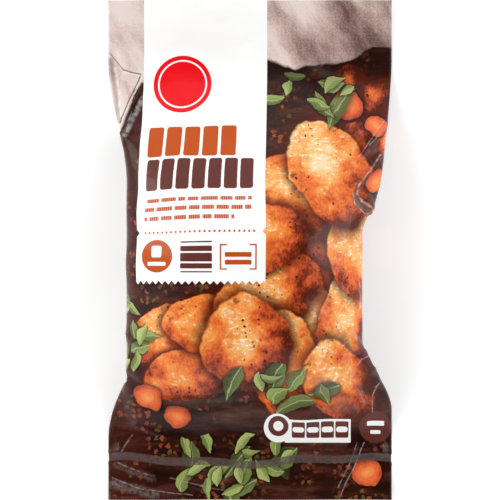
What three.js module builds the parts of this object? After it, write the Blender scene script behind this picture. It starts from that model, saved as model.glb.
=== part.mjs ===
// A whole raw chicken sealed in its printed plastic bag, lying on its back with the front up.
// Millimetres, +Z up. The bag's top edge points to +Y and its front faces +Z.
// The origin is on the table, under the middle of the bag.
import * as THREE from 'three';

// Driving sizes of the bag
const BAG_WIDTH = 250; // the film tube pressed flat
const BAG_LENGTH = 441; // from cut edge to cut edge
const FLAT_THICKNESS = 1.8; // two layers of film with a little air between them
const SEAL_THICKNESS = 1.1;
const SEAL_TO_EDGE = 34.5; // from the bottom cut edge to the middle of the heat seal
const SEAL_WIDTH = 7;
const HALF_WIDTH = BAG_WIDTH / 2;
const HALF_LENGTH = BAG_LENGTH / 2;
const SEAL_Y = SEAL_TO_EDGE - HALF_LENGTH;

// Where the side edges are drawn in by the film going round the bird, as places along Y
const LEFT_EDGE = { depth: 16.8, top: [167, 57], bottom: [-115, -168] };
const RIGHT_EDGE = { slope: 11.5, notch: 15, top: [167, 53], shoulder: [53, 13], bottom: [-75, -142] };
const SLOPE_POWER = 1.5;

// Shape of a section across the bag
const LOWER_SHARE = 0.42; // of a section's height that lies below its widest place
const FRONT_POWER = { body: 2.35, flat: 4 };
const BACK_POWER = { body: 3.2, flat: 4 };
const PRESSED = 0.035; // of a section's height that its own weight presses flat
const FULL_HEIGHT = 60; // a section this high has the body's shape
const EVENING_REACH = 18; // how far along the bag its height is evened out

// The bird's own bulges under the film: middle, radii and height
const BULGES = [
  { at: [-2, 14], radii: [74, 84], height: 8 }, // the breast as a whole
  { at: [-36, 18], radii: [34, 62], height: 3 }, // left side of the breast
  { at: [33, 14], radii: [33, 60], height: 3 }, // right side of the breast
  { at: [-52, -94], radii: [24, 42], height: 5 }, // left drumstick
  { at: [44, -90], radii: [24, 42], height: 5 }, // right drumstick
  { at: [-3, -112], radii: [20, 32], height: -3 }, // hollow between the legs
  { at: [-68, 64], radii: [24, 30], height: 3 }, // left wing
  { at: [60, 60], radii: [24, 30], height: 3 }, // right wing
];

// Folds in the front film: a crest from one place to another, its half width and its height
const FOLDS = [
  { from: [-94, 147], to: [-112, 93], width: 3.6, height: 5 },
  { from: [-95, 155], to: [-117, 102], width: 3, height: -2.5 },
  { from: [-124, 166], to: [-90, 150], width: 3, height: 2.5 },
  { from: [108, 84], to: [89, 52], width: 4, height: 5.5 },
  { from: [89, 52], to: [106, 32], width: 4, height: 5 },
  { from: [101, 78], to: [98, 40], width: 5, height: -4 },
  { from: [93, 14], to: [95, -48], width: 3.5, height: 2 },
  { from: [-100, 60], to: [-84, 20], width: 4.5, height: 2.4 },
  { from: [-96, -78], to: [-78, -120], width: 4.5, height: -3 },
  { from: [-112, -132], to: [-70, -104], width: 5, height: 3.5 },
  { from: [-116, -146], to: [-66, -134], width: 4.5, height: 3 },
  { from: [110, -122], to: [72, -100], width: 5, height: 3.5 },
  { from: [108, -134], to: [103, -158], width: 3.5, height: 3 },
  { from: [116, -146], to: [70, -128], width: 4.5, height: 3 },
  { from: [103, -160], to: [79, -220], width: 3.5, height: 2.6 },
  { from: [90, -178], to: [66, -220], width: 3.5, height: 2 },
];

// Pleats that fan out from each end of the heat seal
const PLEATS = { count: 5, length: 24, width: 2.2, height: 2.2, first: 92, step: 15, inset: 6 };

const CUT_EDGE_FADE = 8; // folds flatten out over this length before a cut edge

// Soft waves of the flat ends, which lift them off the table
const TOP_WAVE = { from: 150, height: 5, along: 150, slant: 0.35, start: 0.6 };
const SKIRT_WAVE = { from: -172, height: 6, along: 118, slant: -0.9, start: 2.2 };

// Grid of the faceted surface
const FRONT_COLUMNS = 52;
const COLUMNS_TO_EDGES = 0.55; // how much closer the columns lie near the side edges
const CURVE_STEPS = 120;
const ROW_SPANS = [
  [-HALF_LENGTH, SEAL_Y - SEAL_WIDTH / 2, 6],
  [SEAL_Y - SEAL_WIDTH / 2, SEAL_Y + SEAL_WIDTH / 2, 1],
  [SEAL_Y + SEAL_WIDTH / 2, -60, 22],
  [-60, 30, 10],
  [30, 168, 22],
  [168, HALF_LENGTH, 6],
];

const ramp = (from, to, y) => Math.min(Math.max((y - from) / (to - from), 0), 1);
const smooth = (from, to, y) => THREE.MathUtils.smoothstep(ramp(from, to, y), 0, 1);
const mix = THREE.MathUtils.lerp;

// Distance that the left and the right side edge are drawn in at this place along the bag
function edgeInsets(y) {
  const left = LEFT_EDGE.depth * smooth(...LEFT_EDGE.top, y) * (1 - ramp(...LEFT_EDGE.bottom, y)) ** 2;
  const slope = RIGHT_EDGE.slope * ramp(...RIGHT_EDGE.top, y) ** SLOPE_POWER;
  const notch = RIGHT_EDGE.notch * smooth(...RIGHT_EDGE.shoulder, y);
  return [left, (slope + notch) * (1 - smooth(...RIGHT_EDGE.bottom, y))];
}

// Points along one half of a section, from its left edge to its right edge: a superellipse arch
function arch(halfWidth, height, power) {
  const points = [];
  for (let i = 0; i <= CURVE_STEPS; i += 1) {
    const angle = Math.PI * (1 - i / CURVE_STEPS);
    const across = Math.sign(Math.cos(angle)) * Math.abs(Math.cos(angle)) ** (2 / power);
    points.push(new THREE.Vector2(halfWidth * across, height * Math.sin(angle) ** (2 / power)));
  }
  return points;
}

// The same arch for the back, hanging down and pressed flat where it meets the table
function pressedArch(halfWidth, height, power, pressed) {
  return arch(halfWidth, height, power).map((p) => new THREE.Vector2(p.x, Math.min(p.y, height - pressed)));
}

function lengthOf(points) {
  return points.slice(1).reduce((sum, p, i) => sum + p.distanceTo(points[i]), 0);
}

// Front and back curve of the section of this width and height
function sectionCurves(width, height) {
  const fullness = ramp(0, FULL_HEIGHT, height);
  const lower = LOWER_SHARE * height;
  return {
    front: arch(width / 2, height - lower, mix(FRONT_POWER.flat, FRONT_POWER.body, fullness)),
    back: pressedArch(width / 2, lower, mix(BACK_POWER.flat, BACK_POWER.body, fullness), PRESSED * height),
    middle: lower - PRESSED * height,
  };
}

// Height at which a section of this width uses up the whole way round the film tube
function heightFor(width) {
  let low = 0;
  let high = BAG_WIDTH;
  for (let i = 0; i < 40; i += 1) {
    const height = (low + high) / 2;
    const { front, back } = sectionCurves(width, height);
    if (lengthOf(front) + lengthOf(back) < 2 * BAG_WIDTH) low = height;
    else high = height;
  }
  return low;
}

// Height of the bag at this place along it, evened out with the places close by
function bagHeight(y) {
  const reach = Math.min(EVENING_REACH, Math.abs(y - SEAL_Y) / 2);
  const heights = [-1, -0.5, 0, 0.5, 1].map((share) => {
    const [left, right] = edgeInsets(y + share * reach);
    return heightFor(BAG_WIDTH - left - right);
  });
  return heights.reduce((sum, height) => sum + height, 0) / heights.length;
}

// The point at a share of a curve's length
function pointAlong(points, share) {
  let rest = share * lengthOf(points);
  for (let i = 1; i < points.length; i += 1) {
    const step = points[i].distanceTo(points[i - 1]);
    if (rest <= step && step > 0) return points[i - 1].clone().lerp(points[i], rest / step);
    rest -= step;
  }
  return points[points.length - 1].clone();
}

const columnShare = (i, columns) => {
  const t = i / columns;
  return t - (COLUMNS_TO_EDGES * Math.sin(2 * Math.PI * t)) / (2 * Math.PI);
};

// Height that the waves of the flat ends add to both layers of film
function endLift(x, y) {
  const wave = ({ height, along, slant, start }) =>
    (height / 2) * (1 + Math.sin((2 * Math.PI * (x + slant * y)) / along + start));
  const top = smooth(TOP_WAVE.from, HALF_LENGTH, y) * wave(TOP_WAVE);
  const skirt = smooth(SKIRT_WAVE.from, -HALF_LENGTH, y) * wave(SKIRT_WAVE);
  return top + skirt;
}

// Height of one fold's crest at a place seen from above, fading out to its two ends
function foldAt({ from, to, width, height }, x, y) {
  const [dx, dy] = [to[0] - from[0], to[1] - from[1]];
  const along = ((x - from[0]) * dx + (y - from[1]) * dy) / (dx * dx + dy * dy);
  const t = Math.min(Math.max(along, 0), 1);
  const distance = Math.hypot(x - from[0] - t * dx, y - from[1] - t * dy);
  return height * Math.sin(Math.PI * mix(0.12, 0.88, t)) * Math.exp(-((distance / width) ** 2));
}

// The pleats at one end of the seal: side is -1 for the left end and 1 for the right end
function pleatFolds(side) {
  const root = [side * (HALF_WIDTH - PLEATS.inset), SEAL_Y + SEAL_WIDTH / 2];
  return Array.from({ length: PLEATS.count }, (_, i) => {
    const angle = THREE.MathUtils.degToRad(PLEATS.first + i * PLEATS.step);
    const length = PLEATS.length * (1 - 0.09 * i);
    const tip = [root[0] + side * Math.cos(angle) * length, root[1] + Math.sin(angle) * length];
    return { from: root, to: tip, width: PLEATS.width, height: PLEATS.height };
  });
}

const ALL_FOLDS = [...FOLDS, ...pleatFolds(-1), ...pleatFolds(1)];

// Relief of the front film at a place seen from above: bulges of the bird, then folds
function relief(x, y) {
  const bulges = BULGES.reduce((sum, { at, radii, height }) => {
    const reach = ((x - at[0]) / radii[0]) ** 2 + ((y - at[1]) / radii[1]) ** 2;
    return sum + height * Math.exp(-reach);
  }, 0);
  return ALL_FOLDS.reduce((sum, fold) => sum + foldAt(fold, x, y), bulges);
}

// One row of the surface: the front from left to right, then the back from right to left
function sectionRow(y) {
  const [left, right] = edgeInsets(y);
  const width = BAG_WIDTH - left - right;
  const sealed = Math.abs(y - SEAL_Y) <= SEAL_WIDTH / 2;
  const height = Math.hypot(bagHeight(y), sealed ? SEAL_THICKNESS : FLAT_THICKNESS);
  const { front, back, middle } = sectionCurves(width, height);
  const centre = (left - right) / 2;
  const place = (p, up) => {
    const x = centre + p.x;
    return new THREE.Vector3(x, y, middle + (up ? p.y : -p.y) + endLift(x, y));
  };
  const row = [];
  for (let i = 0; i < FRONT_COLUMNS; i += 1) {
    row.push(place(pointAlong(front, columnShare(i, FRONT_COLUMNS)), true));
  }
  const backColumns = FRONT_COLUMNS / 2;
  for (let i = 0; i < backColumns; i += 1) {
    row.push(place(pointAlong(back, 1 - columnShare(i, backColumns)), false));
  }
  return row;
}

function rowPlaces() {
  const places = ROW_SPANS.flatMap(([from, to, steps]) =>
    Array.from({ length: steps }, (_, i) => mix(from, to, i / steps)),
  );
  return [...places, HALF_LENGTH];
}

// Moves the front film along its own normal by the relief, never through the back
function raiseRelief(rows) {
  const ring = rows[0].length;
  const at = (r, c) => rows[Math.min(Math.max(r, 0), rows.length - 1)][(c + ring) % ring];
  const outward = (r, c) => {
    const along = at(r + 1, c).clone().sub(at(r - 1, c));
    const across = at(r, c + 1).clone().sub(at(r, c - 1));
    return across.cross(along).normalize();
  };
  const raised = (p, r, c) => {
    const rise = relief(p.x, p.y);
    const sideFade = Math.sqrt(Math.sin((Math.PI * c) / FRONT_COLUMNS));
    const endFade = ramp(HALF_LENGTH, HALF_LENGTH - CUT_EDGE_FADE, Math.abs(p.y));
    const room = rise < 0 ? ramp(FLAT_THICKNESS, FULL_HEIGHT / 4, p.z) : 1;
    return p.clone().addScaledVector(outward(r, c), rise * sideFade * endFade * room);
  };
  return rows.map((row, r) => row.map((p, c) => (c < FRONT_COLUMNS ? raised(p, r, c) : p)));
}

// Closes a cut edge with a strip of triangles between its front and back layer of film
function endStrip(first, ring) {
  const front = (i) => first + i;
  const back = (i) => first + ((ring - i) % ring);
  const strip = [];
  for (let j = 0; 2 * j < FRONT_COLUMNS; j += 1) {
    const middle = front(2 * j + 1);
    strip.push([front(2 * j), back(j), middle]);
    strip.push([back(j), back(j + 1), middle]);
    strip.push([back(j + 1), front(2 * j + 2), middle]);
  }
  return strip.filter(([a, b, c]) => a !== b && b !== c && c !== a);
}

// Joins the rows into one closed surface
function bagGeometry() {
  const rows = raiseRelief(rowPlaces().map(sectionRow));
  const ring = rows[0].length;
  const triangles = [];
  for (let r = 0; r + 1 < rows.length; r += 1) {
    for (let c = 0; c < ring; c += 1) {
      const [a, b] = [r * ring + c, r * ring + ((c + 1) % ring)];
      triangles.push([a, b, b + ring], [a, b + ring, a + ring]);
    }
  }
  const topStrip = endStrip((rows.length - 1) * ring, ring);
  triangles.push(...endStrip(0, ring), ...topStrip.map(([a, b, c]) => [a, c, b]));
  const places = rows.flat().flatMap((p) => [p.x, p.y, p.z]);
  const geometry = new THREE.BufferGeometry();
  geometry.setAttribute('position', new THREE.Float32BufferAttribute(places, 3));
  geometry.setIndex(triangles.flat());
  geometry.computeVertexNormals();
  return geometry;
}

const film = new THREE.MeshStandardMaterial({ color: 0x6b4a3c, roughness: 0.35, metalness: 0 });
const bag = new THREE.Mesh(bagGeometry(), film);
bag.name = 'filled_bag';

const pack = new THREE.Group();
pack.name = 'bagged_chicken';
pack.add(bag);

export default pack;
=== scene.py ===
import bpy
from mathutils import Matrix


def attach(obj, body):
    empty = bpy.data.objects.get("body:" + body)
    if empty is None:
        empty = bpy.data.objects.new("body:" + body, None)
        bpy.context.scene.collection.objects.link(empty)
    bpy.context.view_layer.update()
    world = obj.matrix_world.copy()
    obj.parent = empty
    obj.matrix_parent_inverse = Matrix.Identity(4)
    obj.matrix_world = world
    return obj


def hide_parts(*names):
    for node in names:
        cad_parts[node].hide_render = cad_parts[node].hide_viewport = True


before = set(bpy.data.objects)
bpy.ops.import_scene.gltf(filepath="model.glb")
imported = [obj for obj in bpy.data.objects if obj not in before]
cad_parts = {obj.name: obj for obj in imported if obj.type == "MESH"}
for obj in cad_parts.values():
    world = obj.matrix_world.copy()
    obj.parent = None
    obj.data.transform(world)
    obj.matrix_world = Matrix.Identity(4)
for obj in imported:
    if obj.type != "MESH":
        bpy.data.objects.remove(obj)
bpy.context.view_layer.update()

# A whole raw chicken sealed in its printed plastic bag, lying on its back with the front up.
# Shapes are worked out in millimetres and turned to metres when they reach a mesh.
import math

import bmesh
import bpy
import numpy as np

MM = 0.001

# Sizes of the bag, as in the part's source, but the right shoulder starts 6 mm higher
BAG_WIDTH = 250.0
BAG_LENGTH = 441.0
HALF_LENGTH = BAG_LENGTH / 2
ROUND = 2 * BAG_WIDTH  # once round the film tube
SEAL_Y = 34.5 - HALF_LENGTH
SEAL_WIDTH = 7.0
LEFT_EDGE = {"depth": 16.8, "top": (167, 57), "bottom": (-115, -168)}
RIGHT_EDGE = {"slope": 11.5, "notch": 15, "top": (167, 53), "shoulder": (59, 13), "bottom": (-75, -142)}
SLOPE_POWER = 1.5
LOWER_SHARE = 0.42
PRESSED = 0.035
FULL_HEIGHT = 60.0
EVENING_REACH = 18.0
HEIGHT_SEARCH = 36  # halvings in the search for a section's height
FRONT_POWER = {"flat": 4.0, "body": 2.35}
BACK_POWER = {"flat": 4.0, "body": 3.2}

# The bird's own bulges under the film: middle, radii and height
BULGES = (
    ((-2, 14), (74, 84), 8),  # the breast as a whole
    ((-36, 18), (34, 62), 3),
    ((33, 14), (33, 60), 3),
    ((-52, -94), (24, 42), 5),  # drumsticks
    ((44, -90), (24, 42), 5),
    ((-3, -112), (20, 32), -3),
    ((-68, 64), (24, 30), 3),  # wings
    ((60, 60), (24, 30), 3),
)

# The film itself
ROWS = 301
COLUMNS = 324  # once round the tube, half of them on the front
LAYER_GAP = 0.9  # between the two layers of the flat ends
FILM_THICKNESS = 0.12
FILM_DRIFT = 2.0  # how far the film has crept round the bird towards the right
CUT_EDGE_DEPTH = 3.0  # how far one looks in between the layers at a cut edge
CUT_EDGE_SLOT = 4.0  # width over which the middle between the layers is taken at a cut edge
TABLE_CLEARANCE = 0.1


def ramp(start, end, value):
    return np.clip((value - start) / (end - start), 0, 1)


def smooth(start, end, value):
    t = ramp(start, end, value)
    return t * t * (3 - 2 * t)


# The bag's form before its film wrinkles


def edge_insets(y):
    """How far the left and right side edges are drawn in by the film going round the bird."""
    left = LEFT_EDGE["depth"] * smooth(*LEFT_EDGE["top"], y) * (1 - ramp(*LEFT_EDGE["bottom"], y)) ** 2
    slope = RIGHT_EDGE["slope"] * ramp(*RIGHT_EDGE["top"], y) ** SLOPE_POWER
    notch = RIGHT_EDGE["notch"] * smooth(*RIGHT_EDGE["shoulder"], y)
    return left, (slope + notch) * (1 - smooth(*RIGHT_EDGE["bottom"], y))


def section_curves(width, height, points=241):
    """Front and back curve of each section, both from left to right, as (sections, points, 2)."""
    full = ramp(0, FULL_HEIGHT, height)
    lower = LOWER_SHARE * height
    pressed = PRESSED * height
    angle = np.linspace(np.pi, 0, points)[None]
    cosine, sine = np.cos(angle), np.sin(angle).clip(0)

    def arch(powers, rise):
        power = (2 / (powers["flat"] + (powers["body"] - powers["flat"]) * full))[:, None]
        across = np.sign(cosine) * np.abs(cosine) ** power * width[:, None] / 2
        return across, sine ** power * rise[:, None]

    middle = (lower - pressed)[:, None]
    front_x, front_z = arch(FRONT_POWER, height - lower)
    back_x, back_z = arch(BACK_POWER, lower)
    front = np.stack([front_x, middle + front_z], -1)
    back = np.stack([back_x, middle - np.minimum(back_z, middle)], -1)
    return front, back


def curve_lengths(curves):
    return np.linalg.norm(np.diff(curves, axis=1), axis=-1).sum(1)


def height_for(width):
    """Height at which sections of these widths use up the whole way round the film tube."""
    low, high = np.zeros_like(width), np.full_like(width, BAG_WIDTH)
    for _ in range(HEIGHT_SEARCH):
        height = (low + high) / 2
        front, back = section_curves(width, height)
        short = curve_lengths(front) + curve_lengths(back) < ROUND
        low, high = np.where(short, height, low), np.where(short, high, height)
    return low


def bag_height(y):
    """Height of the bag along its length, evened out with the places close by."""
    reach = np.minimum(EVENING_REACH, np.abs(y - SEAL_Y) / 2)
    heights = []
    for share in (-1, -0.5, 0, 0.5, 1):
        left, right = edge_insets(y + share * reach)
        heights.append(height_for(BAG_WIDTH - left - right))
    return sum(heights) / len(heights)


def plain_bag(y, around):
    """Film places as a grid (rows, columns, 3): rows at y, columns at these ways round the tube."""
    left, right = edge_insets(y)
    height = np.hypot(bag_height(y), LAYER_GAP)
    front, back = section_curves(BAG_WIDTH - left - right, height)
    fullness = ramp(0, FULL_HEIGHT, height)
    grid = np.zeros((len(y), len(around), 3))
    grid[..., 1] = y[:, None]
    for row in range(len(y)):
        ring = np.concatenate([front[row], back[row][-2::-1]])
        way = np.concatenate([[0], np.cumsum(np.linalg.norm(np.diff(ring, axis=0), axis=1))])
        wanted = (around + FILM_DRIFT * fullness[row]) % ROUND / ROUND * way[-1]
        grid[row, :, 0] = (left[row] - right[row]) / 2 + np.interp(wanted, way, ring[:, 0])
        grid[row, :, 2] = np.interp(wanted, way, ring[:, 1])
    return grid, height


def outward_normals(grid):
    along = np.gradient(grid, axis=0)
    across = np.roll(grid, -1, 1) - np.roll(grid, 1, 1)
    normal = np.cross(across, along)
    return normal / np.linalg.norm(normal, axis=-1, keepdims=True).clip(1e-9)


# Folds of the front film, seen from above

# Creases: from, to, half width and height; a negative height is a groove
CREASES = (
    ((-124, 166), (-94, 153), 2.0, 2.0),
    ((-92, 141), (-110, 92), 2.8, 3.8),
    ((-95, 148), (-114, 100), 2.0, -3.0),
    ((-122, 196), (-108, 150), 2.6, 1.8),
    ((-112, 178), (-98, 120), 3.0, 1.6),
    ((118, 110), (95, 78), 2.0, 2.4),
    ((90, 54), (113, 84), 1.8, 2.2),
    ((90, 56), (104, 30), 1.8, 2.4),
    ((97, 52), (107, 34), 2.0, 2.0),
    ((95, -30), (93, 10), 2.0, 1.4),
    ((84, -60), (96, -96), 2.4, 1.6),
    ((106, -84), (113, -99), 2.0, 2.6),
    ((106, -106), (116, -96), 2.0, 2.4),
    ((107, -118), (106, -150), 2.2, 2.6),
    ((98, -128), (104, -160), 2.2, 1.8),
    ((101, -166), (76, -219), 2.0, 2.6),
    ((89, -176), (74, -214), 2.0, 2.0),
    ((104, -170), (113, -182), 2.4, -2.4),
    ((-123, -192), (-92, -202), 3.0, 2.2),
    ((-123, -206), (-52, -219), 3.0, 2.2),
    ((-71, -202), (-18, -216), 3.2, 1.8),
    ((-108, -72), (-86, -96), 2.6, 2.0),
    ((-112, -84), (-92, -112), 2.6, 1.8),
    ((-116, -150), (-70, -166), 2.8, 1.4),
    ((60, 196), (118, 168), 6.0, 1.4),
    ((10, 214), (44, 172), 7.0, 1.2),
    ((24, 176), (70, 150), 6.0, 1.2),
)

# Tucks: from, to, height, sharpness and reach; the film left of the line stands up from the right
TUCKS = (
    ((-94, 152), (-114, 105), -3.8, 0.8, 17.0),
    ((113, 84), (91, 55), 5.2, 0.9, 11.0),
    ((91, 55), (103, 31), 4.2, 0.9, 9.0),
)

PLEATS = {"count": 6, "length": 32.0, "shortening": 0.08, "width": 1.9, "height": 2.4, "first": 88.0,
          "step": 15.0, "inset": 4.0}

CREASE_ENDS, TUCK_ENDS = 0.1, 0.08  # shares of a half wave left out at each end of a fold
CREASE_PROFILE = (0.05, 0.7)  # how far its top is rounded and how soft its sides are
TUCK_FADE = (0.6, 4.0)  # how soon a tuck gains its height and how far past its ends it runs out


def along_line(start, end, x, y):
    """At each place: share of the way along a line, distance to its right and distance beyond its ends."""
    dx, dy = end[0] - start[0], end[1] - start[1]
    size = math.hypot(dx, dy)
    share = ((x - start[0]) * dx + (y - start[1]) * dy) / size**2
    aside = ((x - start[0]) * dy - (y - start[1]) * dx) / size
    beyond = np.maximum(np.maximum(-share, share - 1), 0) * size
    return share, aside, beyond


def along_fade(share, left_out):
    """Fades a fold towards its two ends."""
    return np.sin(np.pi * (left_out + (1 - 2 * left_out) * share.clip(0, 1)))


def crease(start, end, width, height, x, y):
    share, aside, beyond = along_line(start, end, x, y)
    rounding, softness = CREASE_PROFILE
    across = np.exp(-((np.hypot(aside, beyond) / width) ** 2 + rounding) ** softness)
    return height * along_fade(share, CREASE_ENDS) * across


def tuck(start, end, height, sharpness, reach, x, y):
    share, aside, beyond = along_line(start, end, x, y)
    gain, past = TUCK_FADE
    fade = along_fade(share, TUCK_ENDS) ** gain * np.exp(-((beyond / past) ** 2))
    raised = (0.5 - 0.5 * np.tanh(aside / sharpness)) * np.exp(-np.maximum(-aside, 0) / reach)
    return height * fade * raised


def pleats(side, x, y):
    """The fan of small pleats at one end of the heat seal: side is -1 for the left end."""
    root = (side * (BAG_WIDTH / 2 - PLEATS["inset"]), SEAL_Y + SEAL_WIDTH / 2)
    total = np.zeros_like(x)
    for i in range(PLEATS["count"]):
        angle = math.radians(PLEATS["first"] + i * PLEATS["step"])
        length = PLEATS["length"] * (1 - PLEATS["shortening"] * i)
        tip = (root[0] + side * math.cos(angle) * length, root[1] + math.sin(angle) * length)
        total += crease(root, tip, PLEATS["width"], PLEATS["height"], x, y)
    return total


# Fans of soft folds where the flat ends rise to the body: root, heading and spread in degrees, length, seed
SHOULDER_FANS = (
    ((-112, -96), -42, 66, 58, 3),
    ((112, -84), 222, 66, 58, 5),
    ((122, 112), 214, 60, 52, 6),
)
FAN_FOLDS = {"count": 6, "start": 0.12, "end": (0.6, 1.0), "width": (2.6, 4.4), "height": (0.9, 2.2)}


def away_from(root, angle, way):
    return root[0] + way * math.cos(angle), root[1] + way * math.sin(angle)


def shoulder_folds(x, y):
    total = np.zeros_like(x)
    for root, heading, spread, length, seed in SHOULDER_FANS:
        draws = np.random.default_rng(seed).uniform(0, 1, (FAN_FOLDS["count"], 4))
        for i, (turn, reach, wide, high) in enumerate(draws):
            angle = math.radians(heading + spread * ((i + turn) / FAN_FOLDS["count"] - 0.5))
            start = away_from(root, angle, length * FAN_FOLDS["start"] * turn)
            end = away_from(root, angle, length * np.interp(reach, (0, 1), FAN_FOLDS["end"]))
            width = np.interp(wide, (0, 1), FAN_FOLDS["width"])
            height = np.interp(high, (0, 1), FAN_FOLDS["height"])
            total += crease(start, end, width, height, x, y)
    return total


DENTS = {"count": 14, "length": (26, 64), "height": 0.16, "seed": 21}  # soft waves all over the film


def dents(x, y):
    rng = np.random.default_rng(DENTS["seed"])
    total = np.zeros_like(x)
    for _ in range(DENTS["count"]):
        heading, start = rng.uniform(0, 2 * math.pi, 2)
        rate = 2 * math.pi / rng.uniform(*DENTS["length"])
        total += DENTS["height"] * np.sin(rate * (x * math.cos(heading) + y * math.sin(heading)) + start)
    return total


def front_relief(x, y):
    total = dents(x, y) + shoulder_folds(x, y)
    for middle, radii, height in BULGES:
        reach = ((x - middle[0]) / radii[0]) ** 2 + ((y - middle[1]) / radii[1]) ** 2
        total += height * np.exp(-reach)
    for line in CREASES:
        total += crease(*line, x, y)
    for line in TUCKS:
        total += tuck(*line, x, y)
    return total + pleats(-1, x, y) + pleats(1, x, y)


# Soft waves that lift the flat ends off the table: where along the bag they begin, height, length along X,
# slant and start
END_WAVES = ((150, 5, 150, 0.35, 0.6), (-172, 6, 118, -0.9, 2.2))


def end_lift(x, y):
    total = np.zeros_like(x)
    for begins, height, length, slant, start in END_WAVES:
        wave = height / 2 * (1 + np.sin(2 * np.pi * (x + slant * y) / length + start))
        total += smooth(begins, math.copysign(HALF_LENGTH, begins), y) * wave
    return total


def spread_noise(rows, columns, cells, seed):
    """Smooth random numbers over the film, the same on every run."""
    values = np.random.default_rng(seed).normal(0, 1, cells)
    return resample(values[..., None], rows, columns)[..., 0]


def resample(grid, rows, columns):
    """The grid read at other numbers of rows and columns; columns close on themselves."""
    closed = np.concatenate([grid, grid[:, :1]], 1)
    row_place = np.linspace(0, grid.shape[0] - 1, rows)
    column_place = np.arange(columns) * grid.shape[1] / columns
    row = row_place.astype(int).clip(0, grid.shape[0] - 2)
    column = column_place.astype(int)
    row_share = (row_place - row)[:, None, None]
    column_share = (column_place - column)[None, :, None]
    here = closed[row][:, column] * (1 - column_share) + closed[row][:, column + 1] * column_share
    above = closed[row + 1][:, column] * (1 - column_share) + closed[row + 1][:, column + 1] * column_share
    return here * (1 - row_share) + above * row_share


# Settling: the film hardly stretches, so it buckles wherever the bag's form has less length than the film
SLACK_ALONG = 0.05  # share of the spare length along the bag that stays in the film at its side edges
SLACK_REACH = (4, 48)  # where that share begins and ends to fade, away from a side edge
SLACK_ACROSS = 1.0
LINK_GIVE = {"straight": 0.8, "diagonal": 0.2}
STIFFNESS = 0.15
ROUNDS = {"coarse": 200, "fine": 70}
GRAIN = {"coarse": (0.4, (60, 70), 3), "fine": (0.12, (120, 150), 5)}  # size, cells and seed
HOLD = {"flat": 0.06, "filled": 0.01, "under": 0.2}  # how firmly each round holds the film to the form
FILLED_HEIGHT = 40.0
UNDER_BIRD = {"around": (262, 488), "height": 20}  # where the film is pressed between bird and table
ON_BIRD = {"around": (40, 210), "height": 70}  # where the film lies on the bird's breast
DEEPEST = {"on bird": -0.3, "free": -6.0}  # how far the film may sink into the form


def film_rests(form, around):
    """Lengths that the links along and across the film want to have."""
    along = np.linalg.norm(np.diff(form, axis=0), axis=-1)
    across = np.linalg.norm(np.roll(form, -1, 1) - form, axis=-1)
    from_edge = np.abs((around + BAG_WIDTH / 2) % BAG_WIDTH - BAG_WIDTH / 2)
    slack = SLACK_ALONG * (1 - smooth(*SLACK_REACH, from_edge))
    along = along + slack * (along.max(1, keepdims=True) - along)
    across = across + SLACK_ACROSS * np.maximum(ROUND / len(around) - across, 0)
    return along, across


def pull(film, first, second, rest, give, loose):
    """Moves both ends of each link towards its rest length, in place."""
    apart = film[second] - film[first]
    length = np.sqrt((apart * apart).sum(-1)).clip(1e-9)
    both = (loose[first] + loose[second]).clip(1e-9)
    move = (give * (length - rest) / length / both)[..., None] * apart
    film[first] += move * loose[first][..., None]
    film[second] -= move * loose[second][..., None]


def row_pairs(rows):
    """Rows paired with the row after them, first from row 0 on and then from row 1 on."""
    for start in (0, 1):
        end = start + (rows - start) // 2 * 2
        yield slice(start, end, 2), slice(start + 1, end, 2)


def pull_along(film, along, loose):
    for first, second in row_pairs(len(film)):
        pull(film, first, second, along[first], LINK_GIVE["straight"], loose)


def pull_across(film, across, loose):
    even, odd = (slice(None), slice(0, None, 2)), (slice(None), slice(1, None, 2))
    for turn in (0, 1):
        turned, held = np.roll(film, -turn, 1), np.roll(loose, -turn, 1)
        pull(turned, even, odd, np.roll(across, -turn, 1)[even], LINK_GIVE["straight"], held)
        film[:] = np.roll(turned, turn, 1)


def pull_diagonals(film, diagonal, loose):
    for first, second in row_pairs(len(film)):
        for turn in (0, 1):
            turned, held = np.roll(film, -turn, 1), np.roll(loose, -turn, 1)
            rest = np.roll(diagonal, -turn, 1)[first, 0::2]
            for a, b in ((0, 1), (1, 0)):
                ends = (first, slice(a, None, 2)), (second, slice(b, None, 2))
                pull(turned, *ends, rest, LINK_GIVE["diagonal"], held)
            film[:] = np.roll(turned, turn, 1)


def lies_in(area, height, around):
    """Which film places are between two ways round the tube where the bag is higher than a height."""
    first, last = area["around"]
    return (around > first) & (around < last) & (height[:, None] > area["height"])


def settle(film, form, height, around, rounds):
    """Relaxes the film round the bag's form, in place."""
    along, across = film_rests(form, around)
    diagonal = np.hypot((along + np.roll(along, -1, 1)) / 2, (across[:-1] + across[1:]) / 2)
    normal = outward_normals(form)
    loose = np.ones(film.shape[:2])
    loose[[0, -1]] = 0
    loose[np.abs(form[..., 1] - SEAL_Y) < SEAL_WIDTH / 2] = 0
    filled = ramp(0, FILLED_HEIGHT, height)[:, None]
    hold = HOLD["flat"] + (HOLD["filled"] - HOLD["flat"]) * filled
    hold = np.where(lies_in(UNDER_BIRD, height, around), HOLD["under"], hold)
    deepest = np.where(lies_in(ON_BIRD, height, around), DEEPEST["on bird"], DEEPEST["free"])
    for _ in range(rounds):
        pull_along(film, along, loose)
        pull_across(film, across, loose)
        pull_diagonals(film, diagonal, loose)
        moved = film - form
        bend = np.roll(moved, 1, 1) + np.roll(moved, -1, 1) - 2 * moved
        bend[1:-1] += moved[2:] + moved[:-2] - 2 * moved[1:-1]
        moved = (moved + STIFFNESS / 4 * bend * loose[..., None]) * (1 - hold)[..., None]
        outward = (moved * normal).sum(-1)
        moved += (np.maximum(deepest - outward, 0) / 2)[..., None] * normal
        film[:] = form + moved
        film[..., 2] = np.maximum(film[..., 2], TABLE_CLEARANCE)


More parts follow.
